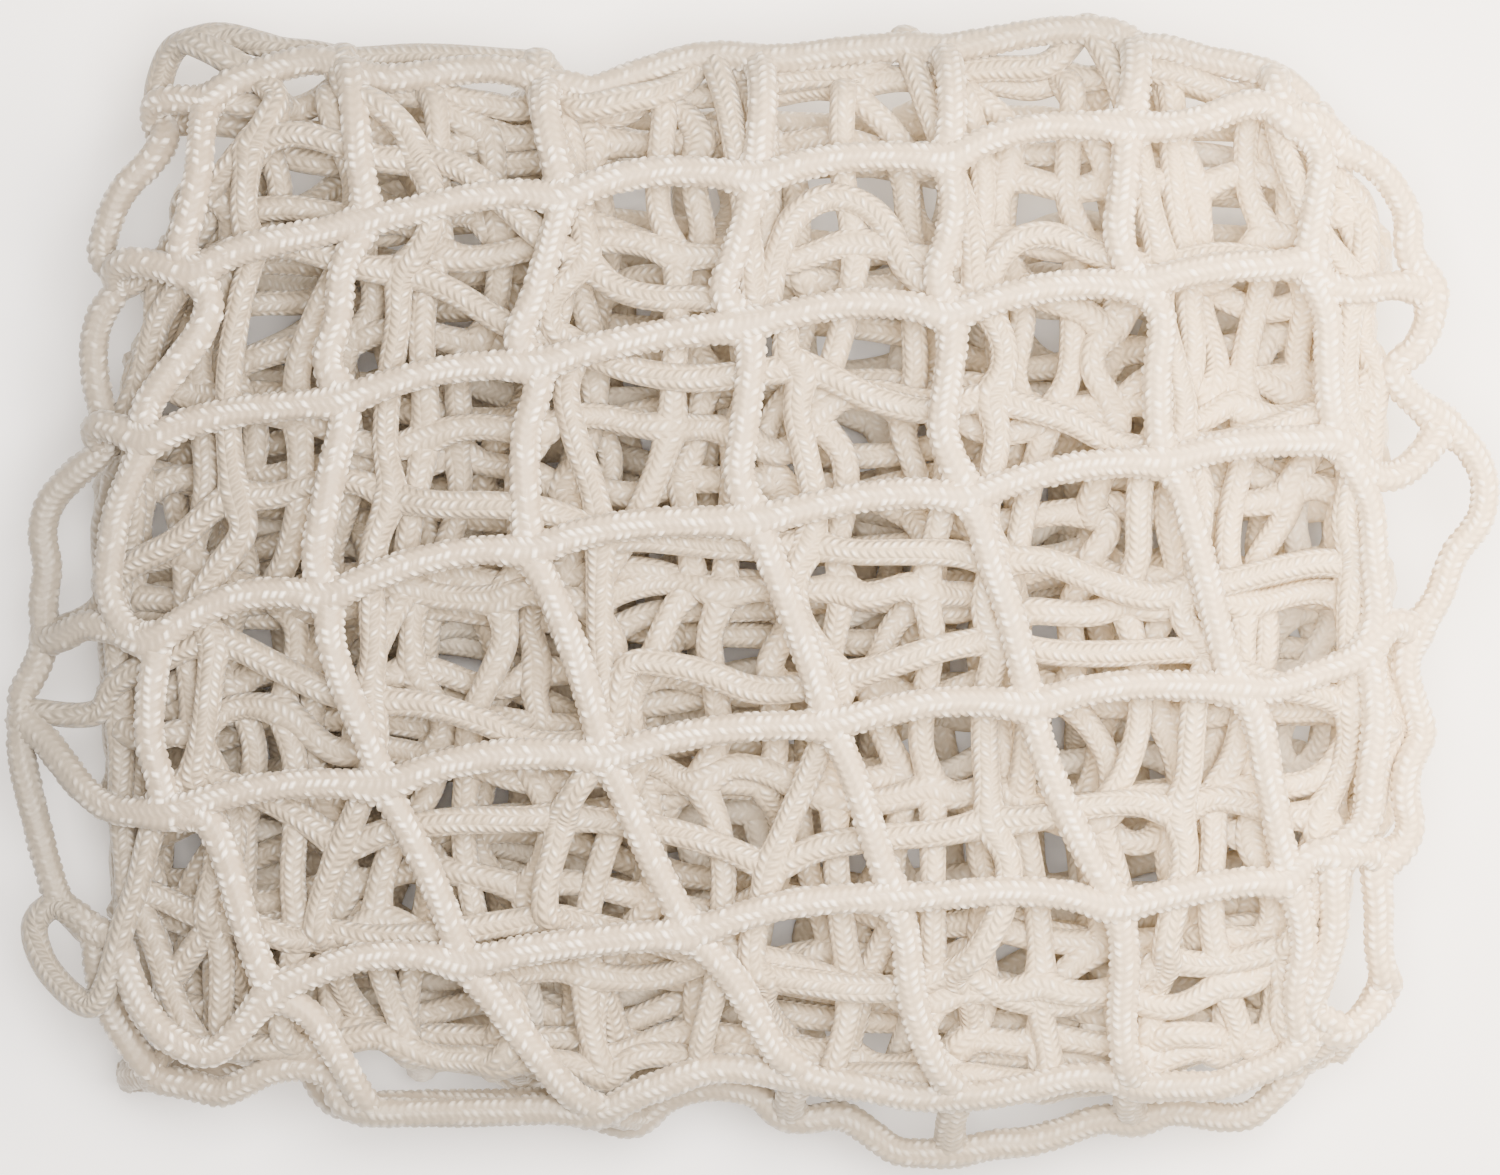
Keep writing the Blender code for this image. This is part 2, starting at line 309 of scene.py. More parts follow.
LOW_ROWS = 2  # and so do its two lowest cords across
LOW_ROW_DEPTH = 1.0


def fold_across(u):
    """Where a cord across lies after the side folds: its X, and which of the three plies."""
    x = np.interp(u, (0.0, PLIES[0][1] - SIDE_TURN), (FACE_RIGHT, RUN_LEFT))
    ply = 0.0
    for centre, edge, side, after, last in (
        (PLIES[1][0], RUN_LEFT, -1, RUN_RIGHT, PLIES[1][1] - SIDE_TURN),
        (PLIES[2][0], RUN_RIGHT, 1, RUN_LEFT, PLIES[2][1]),
    ):
        start, stop = centre - SIDE_TURN, centre + SIDE_TURN
        if u >= stop:
            x = np.interp(u, (stop, last), (edge, after))
            ply += 1.0
        elif u >= start:
            angle = (u - start) / (stop - start) * math.pi
            x = edge + side * SIDE_BULGE * math.sin(angle)
            ply += (1 - math.cos(angle)) / 2
    return x, ply


def fold_along(v, ply):
    """Where a cord down lies after the end folds: its Y, and its depth in layers."""
    high_edge = RUN_HIGH + HIGH_TUCK * ply
    high_start = LOW_HEM + (high_edge - RUN_LOW) / RUN_MESHES[0]
    if v < LOW_HEM:
        return RUN_LOW - (LOW_HEM - v) * HEM_MESH, ply + (LOW_HEM - v) * HEM_DROP
    if v < high_start:
        return RUN_LOW + (v - LOW_HEM) * RUN_MESHES[0], ply
    v -= high_start
    radius = HIGH_TURN_DEPTH - ply
    high_turn = radius * LAYER_PITCH * math.pi / MESH
    if v < high_turn:
        angle = v / high_turn * math.pi
        return (high_edge + radius * LAYER_PITCH * math.sin(angle),
                HIGH_TURN_DEPTH - radius * math.cos(angle))
    v -= high_turn
    depth = 2 * HIGH_TURN_DEPTH - ply
    run = (high_edge - RUN_LOW) / RUN_MESHES[1]
    if v < run:
        return high_edge - v * RUN_MESHES[1], depth
    v -= run
    radius = LOW_TURN_DEPTH - depth
    low_turn = radius * LAYER_PITCH * math.pi / MESH
    if v < low_turn:
        angle = v / low_turn * math.pi
        return (RUN_LOW - radius * LAYER_PITCH * math.sin(angle),
                LOW_TURN_DEPTH - radius * math.cos(angle))
    return RUN_LOW + (v - low_turn) * RUN_MESHES[2], 2 * LOW_TURN_DEPTH - depth


def plain(u, v):
    """A place on the net after folding, before it settles: X, Y and depth in layers."""
    x, ply = fold_across(u)
    y, depth = fold_along(v, ply)
    return np.array((x, y, depth))


def in_space(places):
    """Places (X, Y, depth) as points. The layers spread in the middle, and close at the rim."""
    x, y, depth = np.asarray(places, float).T
    across = np.clip(np.abs(x) / HALF_WIDTH, 0, 1)
    along = np.clip(np.abs(y) / HALF_LENGTH, 0, 1)
    fullness = RIM_FULLNESS + (1 - RIM_FULLNESS) * (1 - across**2.8) * (1 - along**2.6)
    depth = np.clip(depth, 0.0, LAST_LAYER)
    height = np.interp(depth, range(LAST_LAYER + 1), LAYER_HEIGHTS) * fullness
    z = CORD / 2 + FLOOR_GAP + height
    flare = 1 + (FACE_TOP - z) * FLARE
    return np.stack((x * flare, y * flare, z), axis=1)


def kept_below(value, limit):
    """A value eased so that it never passes the limit."""
    start = limit - EDGE_SOFTNESS
    past = max(value - start, 0.0)
    return min(value, start) + EDGE_SOFTNESS * (1 - math.exp(-past / EDGE_SOFTNESS))


def settled(place):
    """A hidden place moved inside the pack's outline."""
    x, y, depth = place
    edge = CORD / 2
    x = kept_below(x, np.interp(y, *zip(*EDGE_RIGHT)) - edge)
    x = -kept_below(-x, -np.interp(y, *zip(*EDGE_LEFT)) - edge)
    y = kept_below(y, np.interp(x, *zip(*EDGE_HIGH)) - edge)
    y = -kept_below(-y, -np.interp(x, *zip(*EDGE_LOW)) - edge)
    return np.array((x, y, depth))


# Each crossing's place: X, Y and depth. The hidden layers lean and wander by these amounts, less
# near the pack's edges.
LAYER_LEAN = (
    # for each run and ply: across, along, turn (mm for each mm)
    ((0, 0, 0), (0, 0, 0), (-4, -12, -0.09)),
    ((-10, 6, -0.06), (9, -4, -0.02), (7, 3, -0.04)),
    ((7, -4, 0.02), (-12, 9, -0.05), (-7, -7, 0.03)),
)
WANDER = 2.4
DEPTH_WANDER = 0.3
RIGHT_BUNCH = 7.0  # the hidden cords down crowd towards the right side
LONG_DRIFT, SHORT_DRIFT = 3, 4
INNER_HALF_WIDTH, INNER_HALF_LENGTH = 125, 105


def drift(layer, x, y):
    """A hidden layer's slow drift, which bunches its meshes in one place and opens them in another."""
    turn = 2.4 * layer
    bunched = RIGHT_BUNCH * math.sin(math.pi * max(x, 0.0) / RUN_RIGHT)
    return np.array((
        LONG_DRIFT * math.sin(y / 31 + turn)
        + SHORT_DRIFT * math.sin(x / 23 + y / 57 + 1.7 * turn) + bunched,
        LONG_DRIFT * math.sin(x / 37 + 1.3 * turn)
        + SHORT_DRIFT * math.sin(y / 26 - x / 61 + 2.9 * turn),
    ))


def leaning(place, run, ply, wander):
    """A hidden crossing's place after its layer has leaned, drifted, wandered and settled."""
    across, along, turn = LAYER_LEAN[run][ply]
    x, y, depth = place
    inner = max(0.0, 1 - (abs(y) / INNER_HALF_LENGTH) ** 4)
    inner *= max(0.0, 1 - (abs(x) / INNER_HALF_WIDTH) ** 4)
    loose = WANDER * (0.3 + 0.7 * inner)
    moved = np.array((
        x + (across - turn * y) * inner + loose * wander[0],
        y + (along + turn * x) * inner + loose * wander[1],
        depth + DEPTH_WANDER * wander[2],
    ))
    moved[:2] += drift(3 * run + ply, x, y) * inner
    return settled(moved)


crossings = np.zeros((ROWS, COLUMNS, 3))
for row in range(ROWS):
    run = 0 if row < FACE_ROWS else 1 if row < RUNS[2][0] else 2
    for column in range(COLUMNS):
        ply = 0 if column < FACE_COLUMNS else 1 if column <= PLIES[2][0] else 2
        place = plain(column, row)
        wander = rng.normal(0.0, 1.0, 3)
        if row < FACE_ROWS and column < FACE_COLUMNS:
            place[:2] = FACE_CROSSINGS[row][FACE_COLUMNS - 1 - column]
            place[2] += {0: RIGHT_RIM_DEPTH, FACE_COLUMNS - 1: LEFT_RIM_DEPTH}.get(column, 0.0)
            place[2] += LOW_ROW_DEPTH if row < LOW_ROWS else 0.0
        elif row < FACE_ROWS and column < PLIES[1][1]:
            place[:2] = SECOND_CROSSINGS[row][column - FACE_COLUMNS]
        else:
            place = leaning(place, run, ply, wander)
        crossings[row, column] = place

# The bends by their cord and mesh, counted from the net's start at the right of the face. The
# tables of the face count from its left.
bends = {}
for (row, mesh), points in FACE_ACROSS.items():
    bends["across", row, FACE_COLUMNS - 2 - mesh] = points[::-1]
for (column, mesh), points in FACE_DOWN.items():
    bends["down", FACE_COLUMNS - 1 - column, mesh] = points[::-1]
for (row, mesh), points in SECOND_ACROSS.items():
    bends["across", row, FACE_COLUMNS - 1 + mesh] = points

# How a slack cord bows and sways sideways between two crossings: a bow's mean and spread on the
# face, and otherwise the spread.
FACE_BOW = {"across": (2.2, 0.8), "down": (0.0, 1.2)}
FACE_SWAY = 0.3
HIDDEN_BOW = 2.4
HIDDEN_SWAY = 0.9
HIDDEN_SAG = 0.35  # and up or down, in layers
BOW_TIMES = (0.22, 0.5, 0.78)


def on_net(way, index, mark):
    """Where a point of a cord is on the flat net, in meshes across and down."""
    return (mark, index) if way == "across" else (index, mark)


def cord_places(way, index):
    """The places a cord passes through, and which of them are its crossings."""
    met = crossings[index] if way == "across" else crossings[:, index]
    side = 1 if way == "across" else 0
    cords, meshes = (FACE_ROWS, PLIES[0][1]) if way == "across" else (FACE_COLUMNS, RUNS[0][1])
    places, met_at = [], []
    for mesh, (start, stop) in enumerate(zip(met[:-1], met[1:])):
        on_face = index < cords and mesh < meshes
        moved_start = start - plain(*on_net(way, index, mesh))
        moved_stop = stop - plain(*on_net(way, index, mesh + 1))
        met_at.append(len(places))
        places.append(start)
        drawn = bends.get((way, index, mesh))
        times = BOW_TIMES if drawn is None else np.arange(1, len(drawn) + 1) / (len(drawn) + 1)
        bow = rng.normal(*(FACE_BOW[way] if on_face else (0.0, HIDDEN_BOW)))
        sway = rng.normal(0.0, FACE_SWAY if on_face else HIDDEN_SWAY)
        sag = rng.normal(0.0, HIDDEN_SAG)
        for k, t in enumerate(times):
            place = plain(*on_net(way, index, mesh + t)) + (1 - t) * moved_start + t * moved_stop
            if drawn is not None:
                place[:2] = drawn[k]
            else:
                place[side] += bow * math.sin(math.pi * t) + sway * math.sin(2 * math.pi * t)
                if not on_face:
                    place[2] += sag * math.sin(math.pi * t)
                    place = settled(place)
            places.append(place)
    met_at.append(len(places))
    places.append(met[-1])
    return np.array(places), met_at


FINE = 0.5  # spacing of the points that a route is read at
SMOOTHINGS = 14
FACING_STEP = 0.04  # the netting's facing is read this far each way, in meshes
FACING_PULL = 0.12  # how fast a cord's facing follows the netting's


def facing_along(way, index, curve, marks):
    """The netting's facing along a cord. It is carried along the cord, so it never flips."""
    tangent = np.gradient(curve, axis=0)
    tangent /= np.linalg.norm(tangent, axis=1, keepdims=True)
    flat_marks = np.arange(0, marks[-1] + 0.05, 0.1)
    wanted = []
    for mark in flat_marks:
        u, v = on_net(way, index, mark)
        corners = in_space([plain(u + FACING_STEP, v), plain(u - FACING_STEP, v),
                            plain(u, v + FACING_STEP), plain(u, v - FACING_STEP)])
        wanted.append(np.cross(corners[2] - corners[3], corners[0] - corners[1]))
    wanted = np.array(wanted)
    wanted /= np.maximum(np.linalg.norm(wanted, axis=1, keepdims=True), 1e-9)
    pull = np.stack([np.interp(marks, flat_marks, wanted[:, k]) for k in range(3)], axis=1)
    normal = Vector(pull[0])
    facing = []
    for direction, toward in zip(tangent.tolist(), pull.tolist()):
        direction = Vector(direction)
        normal = normal + FACING_PULL * Vector(toward)
        normal = (normal - direction * normal.dot(direction)).normalized()
        facing.append(normal[:])
    return np.array(facing)


def route_of(way, index):
    """A cord's smooth route: its points, their facing, and the distance along at each crossing."""
    places, met_at = cord_places(way, index)
    points = in_space(places)
    gaps = np.maximum(np.linalg.norm(np.diff(points, axis=0), axis=1), 1e-6)
    knots = np.concatenate(([0.0], np.cumsum(gaps)))
    slopes = np.gradient(points, knots, axis=0)
    at = np.arange(0.0, knots[-1], FINE)
    i = np.searchsorted(knots, at, side="right") - 1
    t, h = ((at - knots[i]) / gaps[i])[:, None], gaps[i][:, None]
    curve = (
        (2 * t**3 - 3 * t**2 + 1) * points[i] + (t**3 - 2 * t**2 + t) * h * slopes[i]
        + (3 * t**2 - 2 * t**3) * points[i + 1] + (t**3 - t**2) * h * slopes[i + 1]
    )
    for _ in range(SMOOTHINGS):
        curve[1:-1] = 0.25 * curve[:-2] + 0.5 * curve[1:-1] + 0.25 * curve[2:]
    marks = np.interp(at, knots[met_at], np.arange(len(met_at)))
    return curve, facing_along(way, index, curve, marks), knots[met_at]


routes_across = [route_of("across", row) for row in range(ROWS)]
routes_down = [route_of("down", column) for column in range(COLUMNS)]

# ---------------------------------------------------------------------------------------------
# The braided cord that the whole netting is made of: matt synthetic yarn plaited round in eight
# rows of slanting stitches, each 1.6 mm long. Two cords pass through each other at a crossing.
# ---------------------------------------------------------------------------------------------
STITCH = 1.6  # one stitch of the braid, along the cord
PLAITS = 8  # rows of stitches round the cord
SLANT = 1.05  # how far a stitch leans along the cord as it crosses its row
RELIEF = 0.65
STITCH_LEVEL = 0.62  # the height in a stitch, as a share, that lies at the cord's own radius
GROOVE = 0.10  # the height left between two rows of stitches, as a share
CROSSING_SPREAD = 0.30
CROSSING_FLATTEN = 0.35
CROSSING_REACH = 3.6
CROSSING_LIFT = 0.4  # at a crossing, the cord across lies this much proud of the cord down
LIFT_REACH = 9.0
END_OVERLAP = 0.8  # a stretch of cord runs this far past its last crossing
END_ROUND = 1.2
END_GIRTH = 0.55


def stretch_of(route, first, last, step):
    """A stretch of a cord's route, and how far each of its points is from a crossing."""
    curve, facing, crossed = route
    start = max(crossed[first] - END_OVERLAP, 0.0)
    stop = min(crossed[last] + END_OVERLAP, (len(curve) - 1) * FINE)
    at = np.linspace(start, stop, int(round((stop - start) / step)) + 1)
    known = np.arange(len(curve)) * FINE
    points = np.stack([np.interp(at, known, curve[:, k]) for k in range(3)], axis=1)
    normals = np.stack([np.interp(at, known, facing[:, k]) for k in range(3)], axis=1)
    tangent = np.gradient(points, axis=0)
    tangent /= np.linalg.norm(tangent, axis=1, keepdims=True)
    normals = normals - (normals * tangent).sum(1, keepdims=True) * tangent
    normals /= np.linalg.norm(normals, axis=1, keepdims=True)
    away = np.abs(at[:, None] - crossed[None, :]).min(axis=1)
    return at, points, normals, tangent, away


def stitches(rings, sides, step, seed):
    """The braid at each point of a tube: its lean along the cord, its height and its tone."""
    per_plait = sides // PLAITS
    per_stitch = int(round(STITCH / step))
    k = np.arange(sides)
    within = (k % per_plait) / per_plait
    odd = (k // per_plait) % 2
    lean = np.where(odd == 0, within, 1 - within) * SLANT
    rise = np.where(k % per_plait == 0, GROOVE, 1.0)
    ring = np.arange(rings)[:, None] + odd[None, :] * (per_stitch // 2)
    profile = 0.5 - 0.5 * np.cos(2 * math.pi * (ring % per_stitch) / per_stitch)
    # a steady random tone for each stitch, from its number along the cord and its row
    number = (ring // per_stitch) * 7.31 + (k // per_plait)[None, :] * 13.7 + seed
    tone = (np.sin(number * 12.9898) * 43758.5453) % 1.0
    height = profile * rise[None, :] * (0.7 + 0.5 * tone)
    return lean, height, tone


def braided_tube(route, first, last, sides, step, carved, girth, lift):
    """A stretch of one cord as a closed tube, with its braid's stitches standing up if carved."""
    at, points, normals, tangent, away = stretch_of(route, first, last, step)
    points = points + normals * (lift * np.exp(-((away / LIFT_REACH) ** 2)))[:, None]
    side = np.cross(tangent, normals)
    rings = len(points)
    # the cord twists and swells a little along its way, and flattens at its crossings
    twist = 0.35 * np.sin(at / 23.0 + points[0, 0]) + 0.2 * np.sin(at / 9.0 + points[0, 1])
    angle = 2 * math.pi * np.arange(sides)[None, :] / sides + twist[:, None]
    swell = 1 + 0.03 * np.sin(at / 17.0 + points[0, 1]) + 0.02 * np.sin(at / 5.3)
    flat = np.exp(-((away / CROSSING_REACH) ** 2))[:, None] * CROSSING_SPREAD
    radius = np.full((rings, sides), CORD / 2 * girth) * swell[:, None]
    lean = np.zeros(sides)
    height = tone = np.full((rings, sides), 0.5)
    if carved:
        lean, height, tone = stitches(rings, sides, step, points[0, 0])
        radius = radius + RELIEF * (height - STITCH_LEVEL)
    across = radius * (1 + flat)
    upward = radius * (1 - CROSSING_FLATTEN * flat)
    cap = np.clip(np.minimum(at - at[0], at[-1] - at) / END_ROUND, 0.0, 1.0)
    taper = (END_GIRTH + (1 - END_GIRTH) * np.sqrt(1 - (1 - cap) ** 2))[:, None]
    ring = (
        points[:, None, :]
        + normals[:, None, :] * (np.cos(angle) * upward * taper)[:, :, None]
        + side[:, None, :] * (np.sin(angle) * across * taper)[:, :, None]
        + tangent[:, None, :] * lean[None, :, None]
    )
    return ring.reshape(-1, 3), rings, sides, at, height.reshape(-1), tone.reshape(-1)


def netting_piece(name, tubes, material):
    """Joins tubes into one mesh, with the cord's own UV: round it, and along it in metres."""
    places, quads, caps, around, heights, tones = [], [], [], [], [], []
    start = 0
    for points, rings, sides, along, height, tone in tubes:
        places.append(points / 1000.0)
        heights.append(height)
        tones.append(tone)
        i, k = np.meshgrid(np.arange(rings - 1), np.arange(sides), indexing="ij")
        after = (k + 1) % sides
        quad = np.stack((i * sides + k, i * sides + after,
                         (i + 1) * sides + after, (i + 1) * sides + k), axis=2)
        quads.append(quad.reshape(-1, 4) + start)
        u0, u1 = k / sides, (k + 1) / sides
        v0, v1 = along[i] / 1000.0, along[i + 1] / 1000.0
        uv = np.stack((np.stack((u0, v0), 2), np.stack((u1, v0), 2),
                       np.stack((u1, v1), 2), np.stack((u0, v1), 2)), axis=2)
        around.append(uv.reshape(-1, 2))
        caps.append(np.arange(sides)[::-1] + start)
        caps.append(np.arange(sides) + start + (rings - 1) * sides)
        start += rings * sides
    places = np.concatenate(places)
    quads = np.concatenate(quads)
    loops = np.concatenate([quads.reshape(-1)] + caps)
    totals = np.concatenate((np.full(len(quads), 4), [len(cap) for cap in caps]))
    starts = np.concatenate(([0], np.cumsum(totals)[:-1]))
    mesh = bpy.data.meshes.new(name)
    mesh.vertices.add(len(places))
    mesh.vertices.foreach_set("co", places.astype(np.float32).reshape(-1))
    mesh.loops.add(len(loops))
    mesh.loops.foreach_set("vertex_index", loops.astype(np.int32))
    mesh.polygons.add(len(totals))
    mesh.polygons.foreach_set("loop_start", starts.astype(np.int32))
    mesh.polygons.foreach_set("use_smooth", np.ones(len(totals), dtype=bool))
    layer = mesh.uv_layers.new(name="along the cord")
    cap_uv = np.full((sum(len(cap) for cap in caps), 2), 0.5)
    uvs = np.concatenate(around + [cap_uv])
    layer.data.foreach_set("uv", uvs.astype(np.float32).reshape(-1))
    for attribute, values in (("stitch", heights), ("tone", tones)):
        stored = mesh.attributes.new(attribute, "FLOAT", "POINT")
        stored.data.foreach_set("value", np.concatenate(values).astype(np.float32))
    mesh.update(calc_edges=True)
    mesh.validate()
    piece = bpy.data.objects.new(name, mesh)
    bpy.context.scene.collection.objects.link(piece)
    piece.data.materials.append(material)
    return piece


def tubes_across(ply, run, detail):
    first, last = RUNS[run]
    rows = range(first if run == 0 else first + 1, last + 1)
    return [braided_tube(routes_across[row], *PLIES[ply], *detail, CROSSING_LIFT) for row in rows]


def tubes_down(ply, run, detail):
    first, last = PLIES[ply]
    columns = range(first if ply == 0 else first + 1, last + 1)
    return [braided_tube(routes_down[column], *RUNS[run], *detail, -CROSSING_LIFT)
            for column in columns]


def hold_as_netting(piece):
    """Attaches a piece to the root body, and hides the CAD netting part."""
    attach(piece, "root")
    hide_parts("netting")


def drawn_stitches(tree):
    """The braid drawn on a plain tube from its UV: the height in each stitch, and its tone."""
    uv = add_node(tree, "ShaderNodeUVMap", {"uv_map": "along the cord"})
    split = add_node(tree, "ShaderNodeSeparateXYZ", {"Vector": uv.outputs["UV"]})
    plait = add_node(tree, "ShaderNodeMath", {
        "operation": "MULTIPLY", 0: split.outputs[0], 1: float(PLAITS)})
    row = add_node(tree, "ShaderNodeMath", {"operation": "FLOOR", 0: plait.outputs[0]})
    within = add_node(tree, "ShaderNodeMath", {"operation": "FRACT", 0: plait.outputs[0]})
    # the stitches lean one way in a row and the other way in the next, half a stitch on
    zigzag = add_node(tree, "ShaderNodeMath", {
        "operation": "PINGPONG", 0: plait.outputs[0], 1: 1.0})
    lean = add_node(tree, "ShaderNodeMath", {
        "operation": "MULTIPLY", 0: zigzag.outputs[0], 1: -SLANT / STITCH})
    stagger = add_node(tree, "ShaderNodeMath", {"operation": "MULTIPLY", 0: row.outputs[0], 1: 0.5})
    shift = add_node(tree, "ShaderNodeMath", {
        "operation": "ADD", 0: lean.outputs[0], 1: stagger.outputs[0]})
    count = add_node(tree, "ShaderNodeMath", {
        "operation": "MULTIPLY", 0: split.outputs[1], 1: 1000.0 / STITCH})
    turns = add_node(tree, "ShaderNodeMath", {
        "operation": "ADD", 0: count.outputs[0], 1: shift.outputs[0]})
    # each stitch rises along the cord and across its row
    turned = add_node(tree, "ShaderNodeMath", {
        "operation": "MULTIPLY", 0: turns.outputs[0], 1: 2 * math.pi})
    wave = add_node(tree, "ShaderNodeMath", {"operation": "SINE", 0: turned.outputs[0]})
    half = add_node(tree, "ShaderNodeMath", {"operation": "MULTIPLY", 0: wave.outputs[0], 1: 0.5})
    crest = add_node(tree, "ShaderNodeMath", {"operation": "ADD", 0: half.outputs[0], 1: 0.5})
    rounding = add_node(tree, "ShaderNodeMath", {
        "operation": "MULTIPLY", 0: within.outputs[0], 1: math.pi})
    arch = add_node(tree, "ShaderNodeMath", {"operation": "SINE", 0: rounding.outputs[0]})
    height = add_node(tree, "ShaderNodeMath", {
        "operation": "MULTIPLY", 0: crest.outputs[0], 1: arch.outputs[0]})
    number = add_node(tree, "ShaderNodeMath", {"operation": "FLOOR", 0: turns.outputs[0]})
    stitch = add_node(tree, "ShaderNodeCombineXYZ", {"X": row.outputs[0], "Y": number.outputs[0]})
    tone = add_node(tree, "ShaderNodeTexWhiteNoise", {
        "noise_dimensions": "2D", "Vector": stitch.outputs[0]})
    return height.outputs[0], tone.outputs["Value"]


# Painted shade on the outer cords. For each shaded edge: the axis, and where the shade starts and
# where it is full, in metres.
SHADED_EDGES = ((0, -0.108, -0.128), (1, -0.086, -0.100), (1, 0.090, 0.104))
RIM_SHADE_STRENGTH = 0.85


def painted_rim_shade(tree, place, across):
    """How much painted shade greys the cords: along the left, high and low edges, and less towards the
    right.
    """
    left, low, high = [
        add_node(tree, "ShaderNodeMapRange", {0: place.outputs[axis], 1: start, 2: stop})
        for axis, start, stop in SHADED_EDGES
    ]
    ends = add_node(tree, "ShaderNodeMath", {
        "operation": "MAXIMUM", 0: low.outputs[0], 1: high.outputs[0]})
    rim = add_node(tree, "ShaderNodeMath", {
        "operation": "MAXIMUM", 0: left.outputs[0], 1: ends.outputs[0]})
    faded = add_node(tree, "ShaderNodeMath", {"operation": "MULTIPLY", 0: across, 1: 0.5})
    share = add_node(tree, "ShaderNodeMath", {"operation": "SUBTRACT", 0: 1.0, 1: faded.outputs[0]})
    rim_shade = add_node(tree, "ShaderNodeMath", {
        "operation": "MULTIPLY", 0: rim.outputs[0], 1: share.outputs[0]})
    return add_node(tree, "ShaderNodeMath", {
        "operation": "MULTIPLY", 0: rim_shade.outputs[0], 1: RIM_SHADE_STRENGTH}).outputs[0]


SIDE_LIGHT_CURVE = 1.4  # how late the painted light turns the cord creamy towards the right side of the pack
BLOTCH_SCALE = 18.0  # blotches some 55 mm across
FIBRE_SCALE = 1600.0  # fibres some 0.6 mm apart, coarser than real ones, so that they show


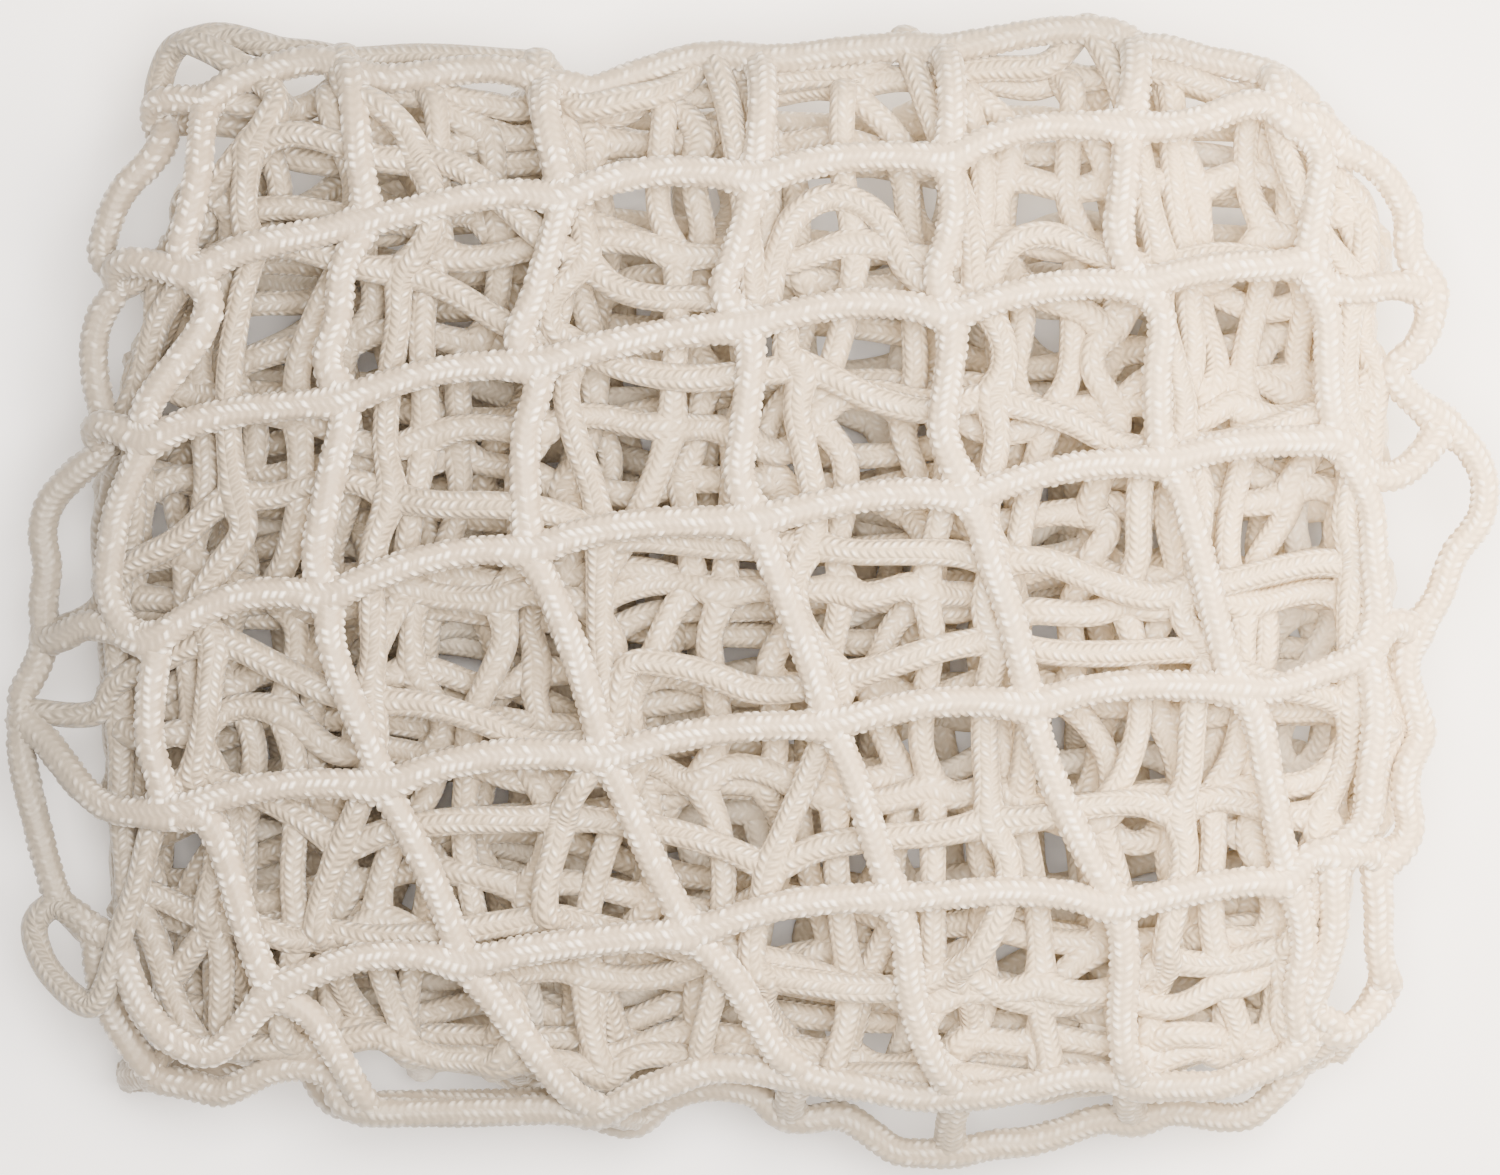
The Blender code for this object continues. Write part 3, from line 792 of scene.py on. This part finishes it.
def braided_cord(name, carved, tints, crevice_shade, relief):
    """Braided synthetic cord, unbleached white: many fine filaments laid in slanting stitches. It
    is matt from afar, with painted shade in the crevices between the stitches and a painted
    highlight on the crests of half of them."""
    made, tree = new_material(name)
    where = add_node(tree, "ShaderNodeTexCoord", {})
    place = add_node(tree, "ShaderNodeSeparateXYZ", {"Vector": where.outputs["Object"]})
    if carved:
        height = add_node(tree, "ShaderNodeAttribute", {"attribute_name": "stitch"}).outputs["Fac"]
        tone = add_node(tree, "ShaderNodeAttribute", {"attribute_name": "tone"}).outputs["Fac"]
    else:
        height, tone = drawn_stitches(tree)

    # painted shade towards the left side of the pack and painted light towards the right: the cord is
    # greyer on the left, creamier on the right, and blotched
    across = add_node(tree, "ShaderNodeMapRange", {0: place.outputs[0], 1: -0.14, 2: 0.14})
    lit_share = add_node(tree, "ShaderNodeMath", {
        "operation": "POWER", 0: across.outputs[0], 1: SIDE_LIGHT_CURVE})
    side_lit_tint = add_node(tree, "ShaderNodeMix", {
        "data_type": "RGBA", 0: lit_share.outputs[0], 6: hex_colour(tints[0]), 7: hex_colour(tints[1])})
    blotch = add_node(tree, "ShaderNodeTexNoise", {
        "Scale": BLOTCH_SCALE, "Detail": 3.0, "Vector": where.outputs["Object"]})
    blotched = add_node(tree, "ShaderNodeMath", {
        "operation": "MULTIPLY", 0: blotch.outputs["Fac"], 1: 0.3})
    tint = add_node(tree, "ShaderNodeMix", {
        "data_type": "RGBA", 0: blotched.outputs[0], 6: side_lit_tint.outputs[2],
        7: hex_colour("E0D2BA")})

    # painted shade makes it darker between the stitches, and a painted highlight makes the crests of
    # half of them bright
    shaded = add_node(tree, "ShaderNodeMix", {
        "data_type": "RGBA", 0: crevice_shade, 6: tint.outputs[2], 7: hex_colour("9C8E7A")})
    yarn = add_node(tree, "ShaderNodeMix", {
        "data_type": "RGBA", 0: height, 6: shaded.outputs[2], 7: tint.outputs[2]})
    chosen = add_node(tree, "ShaderNodeMath", {"operation": "GREATER_THAN", 0: tone, 1: 0.5})
    crest = add_node(tree, "ShaderNodeMath", {"operation": "POWER", 0: height, 1: 2.0})
    bright = add_node(tree, "ShaderNodeMath", {
        "operation": "MULTIPLY", 0: chosen.outputs[0], 1: crest.outputs[0]})
    # the painted highlight's strength is the relief argument, which on plain tubes also sets the drawn
    # bump
    shine = add_node(tree, "ShaderNodeMath", {
        "operation": "MULTIPLY", 0: bright.outputs[0], 1: relief})
    glinted = add_node(tree, "ShaderNodeMix", {
        "data_type": "RGBA", 0: shine.outputs[0], 6: yarn.outputs[2], 7: hex_colour("FFFAF2")})

    # and the outer cords are greyed by painted shade
    colour = add_node(tree, "ShaderNodeMix", {
        "data_type": "RGBA", 0: painted_rim_shade(tree, place, across.outputs[0]), 6: glinted.outputs[2],
        7: hex_colour("7C776E")})
    fibre = add_node(tree, "ShaderNodeTexNoise", {
        "Scale": FIBRE_SCALE, "Detail": 2.0, "Vector": where.outputs["Object"]})
    bumps = add_node(tree, "ShaderNodeBump", {
        "Strength": 0.35, "Distance": 0.0002, "Height": fibre.outputs["Fac"]})
    if not carved:
        bumps = add_node(tree, "ShaderNodeBump", {
            "Strength": relief, "Distance": 0.0006, "Height": height,
            "Normal": bumps.outputs["Normal"]})
    shader = add_node(tree, "ShaderNodeBsdfPrincipled", {
        "Base Color": colour.outputs[2], "Roughness": 0.5, "Specular IOR Level": 0.4,
        "Sheen Weight": 0.2, "Sheen Roughness": 0.4, "Normal": bumps.outputs["Normal"]})
    add_node(tree, "ShaderNodeOutputMaterial", {"Surface": shader.outputs["BSDF"]})
    return made


# ---------------------------------------------------------------------------------------------
# The face: the one layer that is seen whole. Its eight cords across and nine cords down are one
# piece each, with every stitch of the braid standing up.
# ---------------------------------------------------------------------------------------------
FACE_DETAIL = (24, STITCH / 3, True, 1.0)  # sides, step along the cord, carved or not, and girth
face_cord = braided_cord(
    "braided white cord, stitches in relief", True, ("8F857A", "FFEBCA"), 0.5, 1.0)
for way, make in (("across", tubes_across), ("down", tubes_down)):
    made = netting_piece(f"netting_face_cords_{way}", make(0, 0, FACE_DETAIL), face_cord)
    hold_as_netting(made)

# ---------------------------------------------------------------------------------------------
# The eight layers folded under the face: the same braided cord, drawn tighter and so thinner,
# with its stitches drawn on plain tubes. The second layer shows most. The upper five have a tint
# darker than the face's, which is painted shade, and the lowest three a paler tint, which is
# painted light that keeps the gaps between the upper cords light.
# ---------------------------------------------------------------------------------------------
SECOND_DETAIL = (14, 1.0, False, 0.90)
THIRD_DETAIL = (12, 1.2, False, 0.88)
DEEP_DETAIL = (10, 1.8, False, 0.88)
# painted shade in the darker hidden tint, and painted light in the lowest layers' paler one
HIDDEN_SHADE_TINTS = ("7D7468", "F8E4C1")
second_cord = braided_cord("braided white cord, second layer", False, HIDDEN_SHADE_TINTS, 0.28, 0.7)
deep_cord = braided_cord("braided white cord, in shade", False, HIDDEN_SHADE_TINTS, 0.20, 0.55)
lightened_low_cord = braided_cord(
    "braided white cord, painted lighter in deep shade", False, ("C6BCAC", "FFF2DA"), 0.14, 0.5)
for run in range(3):
    for ply in range(3):
        if run == 0 and ply == 0:
            continue
        near = run == 0 and ply == 1
        detail = DEEP_DETAIL if run else SECOND_DETAIL if near else THIRD_DETAIL
        cord = second_cord if near else lightened_low_cord if run == 2 else deep_cord
        tubes = tubes_across(ply, run, detail) + tubes_down(ply, run, detail)
        made = netting_piece(f"netting_fold_{run + 1}_ply_{ply + 1}", tubes, cord)
        hold_as_netting(made)
